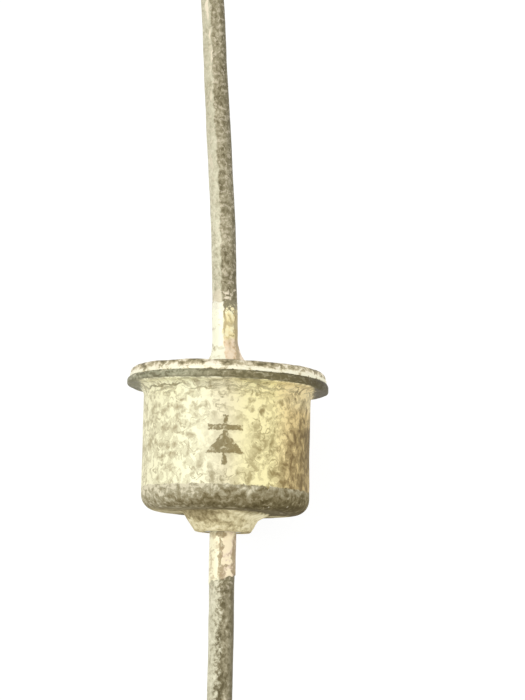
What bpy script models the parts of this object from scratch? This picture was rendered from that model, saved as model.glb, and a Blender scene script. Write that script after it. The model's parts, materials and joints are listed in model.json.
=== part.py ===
"""Axial-lead Schottky rectifier diode in a welded metal can, lying on its side.

A drawn steel cap is welded by its flange to a round steel base. The cathode lead is soldered
to the base outside. The anode lead comes in through a glass seal in the cap's boss. Between
them, inside, a silicon chip sits on a stack of discs, and a folded copper strap ties it to
the anode lead.

The diode is modelled upright on its own axis, z = 0 at the weld between base and cap, +z
towards the cathode lead. An empty then lays the whole of it on its side, as it comes to rest.
"""

from math import acos, asin, atan2, ceil, cos, hypot, pi, radians, sin, tan

import bmesh
import bpy
from mathutils import Matrix, Vector

MM = 0.001

# Base: a turned steel disc with a raised land that centres the cap. Its rim is set back a little
# from the rim of the cap's flange.
BASE_SETBACK = 0.15 * MM
BASE_THICKNESS = 0.56 * MM
BASE_CORNER = 0.34 * MM
LAND_HEIGHT = 0.42 * MM
LAND_CHAMFER = 0.12 * MM

# Cap: one drawn steel sheet, with a flange, a straight wall, a round shoulder and a boss.
CAN_DIAMETER = 9.02 * MM
FLANGE_WIDTH = 0.91 * MM
CAN_DEPTH = 7.1 * MM
CAP_SHEET = 0.48 * MM
FLANGE_EDGE = 0.16 * MM
FLARE_RADIUS = 0.5 * MM
SHOULDER_RADIUS = 0.82 * MM
BOSS_ROOT_DIAMETER = 4.5 * MM
BOSS_END_DIAMETER = 3.02 * MM
BOSS_HEIGHT = 1.04 * MM
BOSS_ROOT_FILLET = 0.3 * MM
BOSS_END_CORNER = 0.14 * MM

# Leads: round tinned copper wire with an upset head on the inner end. The cathode lead stands a
# little off centre and is bent twice, at its foot and higher up.
WIRE_DIAMETER = 1.33 * MM
WIRE_CHAMFER = 0.09 * MM
CATHODE_LEAD_LENGTH = 27.0 * MM
ANODE_LEAD_LENGTH = 27.0 * MM
HEAD_DIAMETER = 2.0 * MM
HEAD_THICKNESS = 0.3 * MM
CATHODE_OFFSET = 0.2 * MM
CATHODE_LEAN = radians(2.3)
CATHODE_SECOND_LEAN = radians(1.8)
CATHODE_SECOND_BEND = 6.5 * MM
ANODE_LEAN = radians(0.3)
BEND_LENGTH = 2.0 * MM

# Solder: a fillet that climbs from the base, and a thin coat on each lead beyond its foot.
FILLET_DIAMETER = 3.8 * MM
FILLET_HEIGHT = 1.8 * MM
SOLDER_COAT = 0.04 * MM
CATHODE_COAT_LENGTH = 3.4 * MM
ANODE_COAT_LENGTH = 2.5 * MM

# Glass bead in the boss.
GLASS_RECESS = 0.12 * MM
MENISCUS = 0.1 * MM

# Discs stacked on the land, each with the solder under it.
SPREADER_DIAMETER = 5.6 * MM
SPREADER_THICKNESS = 0.8 * MM
BUFFER_DIAMETER = 3.8 * MM
BUFFER_THICKNESS = 0.4 * MM
CHIP_SIDE = 2.4 * MM
CHIP_THICKNESS = 0.25 * MM
CHIP_CORNER = 0.12 * MM
BUTTON_DIAMETER = 1.9 * MM
BUTTON_THICKNESS = 0.3 * MM
SOLDER_THICKNESS = 0.07 * MM
SOLDER_MARGIN = 0.1 * MM

# Strap: copper ribbon folded into an S between the button and the anode lead's head.
STRAP_WIDTH = 1.3 * MM
STRAP_SHEET = 0.16 * MM
STRAP_RISE = 1.9 * MM
STRAP_STRAIGHT = 0.9 * MM

# Clearance between pieces that seat on or in each other.
SEAT = 0.01 * MM
MOUTH_CLEARANCE = 0.1 * MM

# Facets round the can, the wire and the small discs: multiples of 4, so that a flat faces down.
CAN_SIDES = 36
WIRE_SIDES = 24
DISC_SIDES = 32
ARC_TOLERANCE = 0.01 * MM

FLANGE_RADIUS = CAN_DIAMETER / 2 + FLANGE_WIDTH
BASE_RADIUS = FLANGE_RADIUS - BASE_SETBACK
WIRE_RADIUS = WIRE_DIAMETER / 2
CAN_INNER_RADIUS = CAN_DIAMETER / 2 - CAP_SHEET
BOSS_END_Z = -(CAN_DEPTH + BOSS_HEIGHT)


def rounded(corners):
    """The outline through (radius, height, fillet) corners, each fillet a run of chords."""
    points = []
    for i, (r, z, fillet) in enumerate(corners):
        corner = Vector((r, z))
        if fillet == 0:
            points.append(corner)
            continue
        to_last = (Vector(corners[i - 1][:2]) - corner).normalized()
        to_next = (Vector(corners[(i + 1) % len(corners)][:2]) - corner).normalized()
        half = to_last.angle(to_next) / 2
        centre = corner + (to_last + to_next).normalized() * (fillet / sin(half))
        start = corner + to_last * (fillet / tan(half)) - centre
        sweep = start.angle_signed(corner + to_next * (fillet / tan(half)) - centre)
        steps = ceil(abs(sweep) / (2 * acos(1 - ARC_TOLERANCE / fillet)))
        # Vector.angle_signed counts clockwise, Matrix.Rotation the other way.
        points += [
            centre + Matrix.Rotation(-sweep * k / steps, 2) @ start for k in range(steps + 1)
        ]
    return points


def finished(name, mesh_data, material):
    """A smooth-shaded object with its sharp edges kept, upright until it is laid down."""
    mesh = bpy.data.meshes.new(name)
    mesh_data.to_mesh(mesh)
    mesh_data.free()
    mesh.shade_smooth()
    mesh.set_sharp_from_angle(angle=radians(35))
    mesh.materials.append(material)
    piece = bpy.data.objects.new(name, mesh)
    bpy.context.scene.collection.objects.link(piece)
    return piece


def turned(outline, sides, ring=True):
    """The bmesh of an outline turned about z. A ring is closed; otherwise the ends lie on the axis."""
    bm = bmesh.new()
    half_step = Matrix.Rotation(pi / sides, 3, "Z")
    verts = [bm.verts.new(half_step @ Vector((p[0], 0, p[1]))) for p in outline]
    edges = [bm.edges.new(pair) for pair in zip(verts, verts[1:])]
    if ring:
        edges.append(bm.edges.new((verts[-1], verts[0])))
    bmesh.ops.spin(
        bm, geom=verts + edges, axis=(0, 0, 1), cent=(0, 0, 0),
        angle=2 * pi, steps=sides, use_merge=True,
    )
    bmesh.ops.remove_doubles(bm, verts=bm.verts, dist=1e-7)
    bmesh.ops.recalc_face_normals(bm, faces=bm.faces)
    return bm


def disc(name, diameter, thickness, bottom, material, corner=0.0):
    """A round disc with its lower face at the height bottom, and its rims rounded."""
    radius, top = diameter / 2, bottom + thickness
    outline = [(0, bottom), *rounded_rim(radius, bottom, top, corner), (0, top)]
    return finished(name, turned(outline, DISC_SIDES, ring=False), material)


def rounded_rim(radius, bottom, top, corner):
    """The two outer corners of a disc, rounded, as a stretch of outline."""
    path = rounded([(0, bottom, 0), (radius, bottom, corner), (radius, top, corner), (0, top, 0)])
    return [p for p in path if p.x > 0]


def lean(bm, slope, start, way):
    """Bends an upright wire: beyond the height start it curves, then runs on at the slope."""
    for vert in bm.verts:
        past = (vert.co.z - start) * way
        if past <= 0:
            continue
        bend = min(past, BEND_LENGTH)
        vert.co.x += slope * (bend * bend / (2 * BEND_LENGTH) + past - bend)


def bend_heights(start, way):
    """The heights at which a wire is cut through a bend, so that it curves smoothly."""
    cuts = 4
    return [start + way * BEND_LENGTH * k / cuts for k in range(cuts + 1)]


def lead_outline(head_face, tip, bend_starts, way):
    """A wire's outline from its head's face to its cut tip. way is +1 upwards and -1 downwards."""
    neck = head_face + way * HEAD_THICKNESS
    bends = [z for start in bend_starts for z in bend_heights(start, way)]
    return [
        (0, head_face),
        (HEAD_DIAMETER / 2, head_face),
        (HEAD_DIAMETER / 2, neck - way * HEAD_THICKNESS / 3),
        (WIRE_RADIUS + HEAD_THICKNESS / 3, neck),
        (WIRE_RADIUS, neck + way * HEAD_THICKNESS / 3),
        *[(WIRE_RADIUS, z) for z in bends],
        (WIRE_RADIUS, tip - way * WIRE_CHAMFER),
        (WIRE_RADIUS - WIRE_CHAMFER, tip),
        (0, tip),
    ]


def make_base(steel):
    """Disc with its outer corner rounded, and the land that drops into the cap's mouth."""
    land_radius = CAN_INNER_RADIUS - MOUTH_CLEARANCE
    outline = rounded([
        (0, BASE_THICKNESS, 0),
        (BASE_RADIUS, BASE_THICKNESS, BASE_CORNER),
        (BASE_RADIUS, SEAT, 0),
        (land_radius, SEAT, 0),
        (land_radius, -LAND_HEIGHT + LAND_CHAMFER, 0),
        (land_radius - LAND_CHAMFER, -LAND_HEIGHT, 0),
        (0, -LAND_HEIGHT, 0),
    ])
    finished("base_disc", turned(outline, CAN_SIDES, ring=False), steel)


def boss_bore(z):
    """The radius of the boss's inner cone at a height, parallel to its outside."""
    taper = (BOSS_ROOT_DIAMETER - BOSS_END_DIAMETER) / 2 / BOSS_HEIGHT
    return BOSS_END_DIAMETER / 2 - CAP_SHEET + taper * (z - BOSS_END_Z)


def make_cap(steel):
    """Drawn cup: flange, wall, shoulder, closed end and boss, with an even wall all the way."""
    outside, inside = CAN_DIAMETER / 2, CAN_INNER_RADIUS
    inner_end = -CAN_DEPTH + CAP_SHEET
    outline = rounded([
        (inside, 0, FLARE_RADIUS + CAP_SHEET),
        (FLANGE_RADIUS, 0, FLANGE_EDGE),
        (FLANGE_RADIUS, -CAP_SHEET, FLANGE_EDGE),
        (outside, -CAP_SHEET, FLARE_RADIUS),
        (outside, -CAN_DEPTH, SHOULDER_RADIUS),
        (BOSS_ROOT_DIAMETER / 2, -CAN_DEPTH, BOSS_ROOT_FILLET),
        (BOSS_END_DIAMETER / 2, BOSS_END_Z, BOSS_END_CORNER),
        (boss_bore(BOSS_END_Z), BOSS_END_Z, 0),
        (boss_bore(inner_end), inner_end, 0),
        (inside, inner_end, SHOULDER_RADIUS - CAP_SHEET),
    ])
    finished("cap", turned(outline, CAN_SIDES), steel)


def make_glass(glass):
    """Bead sealed between boss and anode lead, drawn up into a meniscus at both."""
    inner_end = -CAN_DEPTH + CAP_SHEET
    end = BOSS_END_Z + GLASS_RECESS
    lead_side = WIRE_RADIUS + SEAT
    outline = [
        (lead_side, end),
        ((lead_side + boss_bore(end)) / 2, end + MENISCUS),
        (boss_bore(end) - SEAT, end),
        (boss_bore(inner_end) - SEAT, inner_end),
        ((lead_side + boss_bore(inner_end)) / 2, inner_end - MENISCUS),
        (lead_side, inner_end),
    ]
    finished("glass_seal", turned(outline, WIRE_SIDES), glass)


def bend_cathode(bm):
    """Both bends of the cathode lead, for the wire and the solder on it alike."""
    first, second = cathode_bends()
    lean(bm, -tan(CATHODE_LEAN), first, 1)
    lean(bm, -tan(CATHODE_SECOND_LEAN), second, 1)
    bmesh.ops.translate(bm, verts=bm.verts, vec=(-CATHODE_OFFSET, 0, 0))


def cathode_bends():
    """The heights at which the cathode lead's bends start."""
    return BASE_THICKNESS + SEAT + 2 * HEAD_THICKNESS, BASE_THICKNESS + CATHODE_SECOND_BEND


def make_cathode_lead(tinned):
    """Wire that stands on the base by its head and leans a little to one side."""
    foot = BASE_THICKNESS + SEAT
    tip = BASE_THICKNESS + CATHODE_LEAD_LENGTH
    wire = turned(lead_outline(foot, tip, cathode_bends(), 1), WIRE_SIDES, ring=False)
    bend_cathode(wire)
    finished("cathode_lead", wire, tinned)


def make_cathode_solder(solder):
    """Fillet over the lead's head, running up the wire as a thin coat."""
    foot = BASE_THICKNESS + SEAT
    head = HEAD_DIAMETER / 2 + SEAT
    neck = foot + HEAD_THICKNESS
    wire = WIRE_RADIUS + SEAT
    coat = WIRE_RADIUS + SOLDER_COAT
    coat_end = BASE_THICKNESS + CATHODE_COAT_LENGTH
    bend = [z for z in bend_heights(cathode_bends()[0], 1) if z < coat_end - SOLDER_COAT]
    spread, climb = FILLET_DIAMETER / 2 - coat, FILLET_HEIGHT - SEAT
    steps = 6
    # A quarter of an ellipse, hollow side out, from the base up to the coat.
    fillet = [
        (FILLET_DIAMETER / 2 - spread * sin(pi / 2 * k / steps),
         foot + climb * (1 - cos(pi / 2 * k / steps)))
        for k in range(steps + 1)
    ]
    outside = fillet + [(coat, z) for z in bend if z > foot + climb]
    inside = [(wire, z) for z in reversed(bend)] + [
        (wire, neck + HEAD_THICKNESS / 3),
        (wire + HEAD_THICKNESS / 3, neck),
        (head, neck - HEAD_THICKNESS / 3 + SEAT),
        (head, foot),
    ]
    outline = outside + [(coat, coat_end - SOLDER_COAT), (wire, coat_end)] + inside
    ring = turned(outline, WIRE_SIDES)
    bend_cathode(ring)
    finished("cathode_solder", ring, solder)


def stack_heights():
    """The lower face of each piece on the land, by name, and the top of the stack."""
    # The stack grows away from the base, so each height lies below the last.
    z = -LAND_HEIGHT
    lower = {}
    for name, thickness in (
        ("spreader_solder", SOLDER_THICKNESS),
        ("spreader", SPREADER_THICKNESS),
        ("buffer_solder", SOLDER_THICKNESS),
        ("buffer", BUFFER_THICKNESS),
        ("chip_solder", SOLDER_THICKNESS),
        ("chip", CHIP_THICKNESS),
        ("button_solder", SOLDER_THICKNESS),
        ("button", BUTTON_THICKNESS),
    ):
        z -= SEAT + thickness
        lower[name] = z
    return lower, z


def make_stack(copper, molybdenum, silicon, silver, solder):
    """Heat spreader, buffer disc, chip and contact button, soldered one on the other."""
    lower, _ = stack_heights()
    pads = (
        ("spreader_solder", SPREADER_DIAMETER),
        ("buffer_solder", BUFFER_DIAMETER),
        ("chip_solder", CHIP_SIDE),
        ("button_solder", BUTTON_DIAMETER),
    )
    for name, diameter in pads:
        disc(name, diameter - SOLDER_MARGIN, SOLDER_THICKNESS, lower[name], solder)
    disc("heat_spreader", SPREADER_DIAMETER, SPREADER_THICKNESS, lower["spreader"], copper, 0.1 * MM)
    disc("buffer_disc", BUFFER_DIAMETER, BUFFER_THICKNESS, lower["buffer"], molybdenum, 0.05 * MM)
    disc("contact_button", BUTTON_DIAMETER, BUTTON_THICKNESS, lower["button"], silver, 0.06 * MM)
    make_chip(silicon, lower["chip"])


def make_chip(silicon, bottom):
    """Square of silicon with its four upright corners cut."""
    bm = bmesh.new()
    bmesh.ops.create_cube(bm, size=1)
    bmesh.ops.scale(bm, verts=bm.verts, vec=(CHIP_SIDE, CHIP_SIDE, CHIP_THICKNESS))
    bmesh.ops.translate(bm, verts=bm.verts, vec=(0, 0, bottom + CHIP_THICKNESS / 2))
    upright = [e for e in bm.edges if e.verts[0].co.xy == e.verts[1].co.xy]
    bmesh.ops.bevel(
        bm, geom=upright, affect="EDGES", offset=CHIP_CORNER, segments=1, profile=0.5, material=-1
    )
    finished("schottky_chip", bm, silicon)


def strap_line(start, rise):
    """The middle line of the S, from the button down to the lead's head, as (x, z) points."""
    radius, reach = rise / 4, STRAP_STRAIGHT / 2
    steps = 8
    pad = HEAD_DIAMETER / 2 - STRAP_SHEET
    line = [(-pad, start)]
    for side, centre_z in ((1, start - radius), (-1, start - 3 * radius)):
        line += [
            (side * (reach + radius * sin(pi * k / steps)), centre_z + radius * cos(pi * k / steps))
            for k in range(steps + 1)
        ]
    return line + [(pad, start - rise)]


def make_strap(copper):
    """Ribbon extruded across its width and given its sheet thickness by a Solidify modifier."""
    _, top = stack_heights()
    bm = bmesh.new()
    line = strap_line(top - SEAT - STRAP_SHEET / 2, STRAP_RISE)
    verts = [bm.verts.new((x, -STRAP_WIDTH / 2, z)) for x, z in line]
    edges = [bm.edges.new(pair) for pair in zip(verts, verts[1:])]
    across = bmesh.ops.extrude_edge_only(bm, edges=edges)["geom"]
    far_verts = [v for v in across if isinstance(v, bmesh.types.BMVert)]
    bmesh.ops.translate(bm, verts=far_verts, vec=(0, STRAP_WIDTH, 0))
    bmesh.ops.recalc_face_normals(bm, faces=bm.faces)
    strap = finished("lead_strap", bm, copper)
    sheet = strap.modifiers.new("sheet", "SOLIDIFY")
    sheet.thickness = STRAP_SHEET
    sheet.offset = 0
    sheet.use_even_offset = True


def make_anode_lead(tinned):
    """Wire from the strap, out through the glass, with its head inside the can."""
    _, top = stack_heights()
    face = top - 2 * SEAT - STRAP_RISE - STRAP_SHEET
    tip = BOSS_END_Z - ANODE_LEAD_LENGTH
    wire = turned(lead_outline(face, tip, [BOSS_END_Z], -1), WIRE_SIDES, ring=False)
    lean(wire, tan(ANODE_LEAN), BOSS_END_Z, -1)
    finished("anode_lead", wire, tinned)


def make_anode_solder(solder):
    """Thin coat on the wire, from the glass outwards."""
    wire, coat = WIRE_RADIUS + SEAT, WIRE_RADIUS + SOLDER_COAT
    start = BOSS_END_Z + GLASS_RECESS - SEAT
    end = BOSS_END_Z - ANODE_COAT_LENGTH
    bend = [z for z in bend_heights(BOSS_END_Z, -1) if z > end + SOLDER_COAT]
    outline = (
        [(wire, start), (coat, start)]
        + [(coat, z) for z in bend]
        + [(coat, end + SOLDER_COAT), (wire, end)]
        + [(wire, z) for z in reversed(bend)]
    )
    ring = turned(outline, WIRE_SIDES)
    lean(ring, tan(ANODE_LEAN), BOSS_END_Z, -1)
    finished("anode_solder", ring, solder)


def flat_of(radius, sides):
    """How far the flats of a faceted round lie from its axis."""
    return radius * cos(pi / sides)


def resting_tilt(depth, radius, fillet):
    """The tilt at which the flange's rim and a lower round both touch the floor."""
    rim_depth, rim = CAP_SHEET - FLANGE_EDGE, flat_of(FLANGE_RADIUS, CAN_SIDES)
    along = depth - fillet - rim_depth
    across = (rim - FLANGE_EDGE) - (radius - fillet)
    return asin((FLANGE_EDGE - fillet) / hypot(along, across)) + atan2(across, along)


def lay_down(pieces):
    """Hangs every piece on an empty that rests the diode on its flange and on what touches next."""
    anode_tip = CAN_DEPTH + BOSS_HEIGHT + ANODE_LEAD_LENGTH
    tilt = min(
        resting_tilt(CAN_DEPTH, flat_of(CAN_DIAMETER / 2, CAN_SIDES), SHOULDER_RADIUS),
        resting_tilt(anode_tip - WIRE_CHAMFER, flat_of(WIRE_RADIUS, WIRE_SIDES), 0),
    )
    rim_depth, rim = CAP_SHEET - FLANGE_EDGE, flat_of(FLANGE_RADIUS, CAN_SIDES)
    height = (rim - FLANGE_EDGE) * cos(tilt) + rim_depth * sin(tilt) + FLANGE_EDGE
    # The origin is midway between the two wire tips, on the floor.
    middle = (anode_tip - BASE_THICKNESS - CATHODE_LEAD_LENGTH) / 2 * cos(tilt)
    attitude = bpy.data.objects.new("resting_attitude", None)
    bpy.context.scene.collection.objects.link(attitude)
    attitude.location = (0, middle, height)
    attitude.rotation_euler = (tilt - pi / 2, 0, 0)
    for piece in pieces:
        piece.parent = attitude


def material(name, hex_colour, roughness, metallic, transmission=0.0):
    """A Principled material with the colour given as an sRGB hex value."""
    made = bpy.data.materials.new(name)
    made.use_nodes = True
    shader = made.node_tree.nodes["Principled BSDF"]
    channels = [((hex_colour >> shift) & 255) / 255 for shift in (16, 8, 0)]
    linear = [c / 12.92 if c <= 0.04045 else ((c + 0.055) / 1.055) ** 2.4 for c in channels]
    shader.inputs["Base Color"].default_value = (*linear, 1)
    shader.inputs["Roughness"].default_value = roughness
    shader.inputs["Metallic"].default_value = metallic
    shader.inputs["Transmission Weight"].default_value = transmission
    return made


for old in list(bpy.data.objects):
    bpy.data.objects.remove(old)

tarnished_tin = material("tarnished_tin_plate", 0xC9C09A, 0.5, 0.6)
dull_steel = material("dull_plated_steel", 0x8E8A74, 0.5, 0.8)
tinned_wire = material("tinned_copper", 0x9A927A, 0.45, 0.9)
solder_metal = material("solder", 0xD8D2B4, 0.4, 0.8)
copper = material("copper", 0xB5714A, 0.35, 1.0)
molybdenum = material("molybdenum", 0x8C8F94, 0.4, 1.0)
silicon = material("silicon", 0x4A4F58, 0.2, 0.6)
silver = material("silver_plate", 0xD9D9D6, 0.3, 1.0)
seal_glass = material("seal_glass", 0x4E6B5A, 0.1, 0.0, 0.5)

make_base(dull_steel)
make_cap(tarnished_tin)
make_glass(seal_glass)
make_cathode_lead(tinned_wire)
make_cathode_solder(solder_metal)
make_stack(copper, molybdenum, silicon, silver, solder_metal)
make_strap(copper)
make_anode_lead(tinned_wire)
make_anode_solder(solder_metal)
lay_down(list(bpy.context.scene.collection.objects))
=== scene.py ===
"""Looks for an axial-lead diode in a welded metal can, lying on its side on a white ground.

Each piece that shows is drawn again here as a finely divided surface of revolution, and put a
little out of true, as the real one is. It is drawn in millimetres on the diode's own axis: z = 0
at the weld between base and cap, +z towards the cathode lead, -y towards the camera. One matrix
then lays it down in the frame.
"""

import json
from functools import partial
from math import asin, atan2, ceil, cos, degrees, exp, hypot, pi, radians, sin, tan
from types import SimpleNamespace

import bmesh
import bpy
from mathutils import Matrix, Vector, noise


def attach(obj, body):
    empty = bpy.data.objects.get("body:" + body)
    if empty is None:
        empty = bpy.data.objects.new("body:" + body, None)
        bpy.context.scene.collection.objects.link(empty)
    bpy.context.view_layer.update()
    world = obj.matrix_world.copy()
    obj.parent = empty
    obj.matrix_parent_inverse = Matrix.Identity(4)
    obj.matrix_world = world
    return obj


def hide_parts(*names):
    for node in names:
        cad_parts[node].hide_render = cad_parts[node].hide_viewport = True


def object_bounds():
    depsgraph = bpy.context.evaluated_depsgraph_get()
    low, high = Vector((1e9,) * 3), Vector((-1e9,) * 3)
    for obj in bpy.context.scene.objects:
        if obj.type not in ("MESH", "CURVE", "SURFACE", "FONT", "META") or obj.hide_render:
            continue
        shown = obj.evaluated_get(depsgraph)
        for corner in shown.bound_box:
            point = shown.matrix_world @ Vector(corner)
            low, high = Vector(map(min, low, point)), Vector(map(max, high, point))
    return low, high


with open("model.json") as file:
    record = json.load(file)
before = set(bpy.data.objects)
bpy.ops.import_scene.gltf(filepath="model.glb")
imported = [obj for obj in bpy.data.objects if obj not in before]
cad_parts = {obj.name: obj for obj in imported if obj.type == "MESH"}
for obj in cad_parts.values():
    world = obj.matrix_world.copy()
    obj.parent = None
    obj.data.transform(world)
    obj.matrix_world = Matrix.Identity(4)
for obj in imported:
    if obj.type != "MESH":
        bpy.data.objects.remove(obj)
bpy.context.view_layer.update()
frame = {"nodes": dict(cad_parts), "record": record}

# Camera
# It looks down on the lying diode from the side of the anode lead, as far off as a lens for
# close work would stand. The frame says where the cut end of that lead is and how it slopes, and
# LAID_DOWN takes a point of the upright diode, in mm, to its place there, in metres.
ANODE_TIP = -35.14
mounts = {mount["name"]: mount for mount in frame["record"]["mounts"]}
anode_end = mounts["anode_lead_end"]
axis_rise = asin(-anode_end["axis"][2])
LAID_DOWN = (
    Matrix.Translation((0, *anode_end["pos_m"][1:]))
    @ Matrix.Rotation(axis_rise - pi / 2, 4, "X")
    @ Matrix.Scale(0.001, 4)
    @ Matrix.Translation((0, 0, -ANODE_TIP))
)

# The wire's width in the photograph gives the size of a pixel, in mm, and so the lens.
PIXEL_SIZE = 0.054
PHOTO_HEIGHT = 700 * PIXEL_SIZE
CAMERA_ELEVATION = radians(74.805)
CAMERA_AZIMUTH = radians(1.317)
CAMERA_DISTANCE = 150
CAMERA_AIM = Vector((1.82, 0, 1.746))
SENSOR = 36

camera = bpy.data.objects.new("camera", bpy.data.cameras.new("camera"))
bpy.context.scene.collection.objects.link(camera)
bpy.context.scene.camera = camera
back = Vector((
    sin(CAMERA_AZIMUTH) * cos(CAMERA_ELEVATION),
    -cos(CAMERA_AZIMUTH) * cos(CAMERA_ELEVATION),
    sin(CAMERA_ELEVATION),
))
camera.location = LAID_DOWN @ CAMERA_AIM + CAMERA_DISTANCE / 1000 * back
camera.rotation_euler = back.to_track_quat("Z", "Y").to_euler()
camera.data.sensor_width = SENSOR
camera.data.lens = SENSOR * CAMERA_DISTANCE / PHOTO_HEIGHT
camera.data.clip_start, camera.data.clip_end = 0.01, 10

# Light
# An even white room, one large soft lamp from the upper left and a weak one from the right. The
# room is pure white where it is seen, and darker where it only lights the diode.
ROOM_LEVEL = 0.74
LAMP_AIM = Vector((0, 0, -3))

world = bpy.data.worlds.new("room")
bpy.context.scene.world = world
world.use_nodes = True
room = world.node_tree.nodes["Background"]
room.inputs["Color"].default_value = (1, 1, 1, 1)


def srgb(colour):
    """A colour written as an sRGB hex value, as linear RGBA."""
    channels = [((colour >> shift) & 255) / 255 for shift in (16, 8, 0)]
    linear = [c / 12.92 if c <= 0.04045 else ((c + 0.055) / 1.055) ** 2.4 for c in channels]
    return (*linear, 1)


def add_node(tree, kind, *inputs, out=0, stops=(), **settings):
    """Adds a node with its settings and links, and returns its output socket or sockets.

    The inputs go to the node's shown sockets in their order: a socket is linked, any other value
    is set, and None leaves a socket as it is. Stops fill a colour ramp, each with its position
    and a colour as sRGB hex, or a grey level from 0.0 to 1.0.
    """
    node = tree.nodes.new("ShaderNode" + kind)
    for name, value in settings.items():
        setattr(node, name, value)
    for socket, value in zip([socket for socket in node.inputs if socket.enabled], inputs):
        if isinstance(value, bpy.types.NodeSocket):
            tree.links.new(value, socket)
        elif value is not None:
            socket.default_value = value
    for i, (position, colour) in enumerate(stops):
        if i > 1:
            node.color_ramp.elements.new(1)
        element = node.color_ramp.elements[i]
        element.position = position
        element.color = srgb(colour) if isinstance(colour, int) else (colour, colour, colour, 1)
    if isinstance(out, str):
        return node.outputs[out]
    return [socket for socket in node.outputs if socket.enabled][out]


def seen_directly(tree):
    """1 for the rays of camera, gloss and glass, which show a thing, and 0 for those of light."""
    add = partial(add_node, tree)
    seen = add("LightPath", out="Is Camera Ray")
    for ray in ("Is Glossy Ray", "Is Transmission Ray"):
        seen = add("Math", seen, add("LightPath", out=ray), operation="MAXIMUM")
    return seen


room_strength = add_node(
    world.node_tree, "MapRange", seen_directly(world.node_tree), 0.0, 1.0, ROOM_LEVEL, 1.0
)
world.node_tree.links.new(room_strength, room.inputs["Strength"])


def soft_lamp(name, place, size, power):
    """A square area lamp, in metres and watts, aimed at the can."""
    lamp = bpy.data.lights.new(name, "AREA")
    lamp.shape = "SQUARE"
    lamp.size = size
    lamp.energy = power
    holder = bpy.data.objects.new(name, lamp)
    bpy.context.scene.collection.objects.link(holder)
    holder.location = place
    from_can = Vector(place) - LAID_DOWN @ LAMP_AIM
    holder.rotation_euler = from_can.to_track_quat("Z", "Y").to_euler()


soft_lamp("key_lamp", place=(-0.16, 0.02, 0.24), size=0.18, power=0.26)
soft_lamp("fill_lamp", place=(0.2, -0.1, 0.16), size=0.2, power=0.1)
bpy.context.scene.view_settings.view_transform = "Standard"

# Base disc
# A turned steel disc with dull nickel plate, on which everything is built. A land on its inner
# face centres the cap, whose flange is welded to it. Its rim shows above that flange, with a
# small ridge at its foot.
SEAT = 0.01
BASE_TOP = 0.58
BASE_RADIUS = 5.24
BASE_CORNER = 0.32
RIDGE_TOP = 0.17
RIDGE_WIDTH = 0.05
RIDGE_SLOPE = 0.04
LAND_RADIUS = 3.93
LAND_DEPTH = 0.42
LAND_CHAMFER = 0.12
SKEW = 0.014

# How finely the round of the can and the outlines of its pieces are divided.
CAN_FACES = 240
FACE_LENGTH = 0.16


def new_material(name):
    """A material, and the function that adds a node to it."""
    material = bpy.data.materials.new(name)
    material.use_nodes = True
    return material, partial(add_node, material.node_tree)


def shaded(material, sockets):
    """The material with its shader's sockets linked or set, each by its name."""
    shader = material.node_tree.nodes["Principled BSDF"]
    for name, value in sockets.items():
        if isinstance(value, bpy.types.NodeSocket):
            material.node_tree.links.new(value, shader.inputs[name])
        else:
            shader.inputs[name].default_value = value
    return material


def warped(add, where, scale, amount):
    """The place pushed about by noise, by up to about half the amount."""
    push = add("TexNoise", where, scale, 3.0, out=1)
    push = add("VectorMath", push, (0.5, 0.5, 0.5), operation="SUBTRACT")
    return add("VectorMath", push, (amount,) * 3, where, operation="MULTIPLY_ADD")


def distance_from_axis(add, x, y):
    """How far a place is from the diode's axis, in mm."""
    square = add("Math", x, x, add("Math", y, y, operation="MULTIPLY"), operation="MULTIPLY_ADD")
    return add("Math", square, operation="SQRT")


def rounded(corners, step=radians(9)):
    """The outline through (radius, height, fillet) corners, each fillet a run of short chords."""
    points = []
    for i, (r, z, fillet) in enumerate(corners):
        corner = Vector((r, z))
        if fillet == 0:
            points.append(corner)
            continue
        to_last = (Vector(corners[i - 1][:2]) - corner).normalized()
        to_next = (Vector(corners[(i + 1) % len(corners)][:2]) - corner).normalized()
        half = to_last.angle(to_next) / 2
        centre = corner + (to_last + to_next).normalized() * (fillet / sin(half))
        start = corner + to_last * (fillet / tan(half)) - centre
        sweep = start.angle_signed(corner + to_next * (fillet / tan(half)) - centre)
        steps = ceil(abs(sweep) / step)
        # Vector.angle_signed counts clockwise, Matrix.Rotation the other way.
        points += [
            centre + Matrix.Rotation(-sweep * k / steps, 2) @ start for k in range(steps + 1)
        ]
    return points


def divided(points, length, closed):
    """The outline with its long stretches cut into pieces of at most that length."""
    fine = []
    for a, b in zip(points, points[1:] + points[:1] if closed else points[1:]):
        cuts = max(1, ceil((b - a).length / length))
        fine += [a.lerp(b, k / cuts) for k in range(cuts)]
    return fine if closed else fine + [points[-1]]


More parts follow.
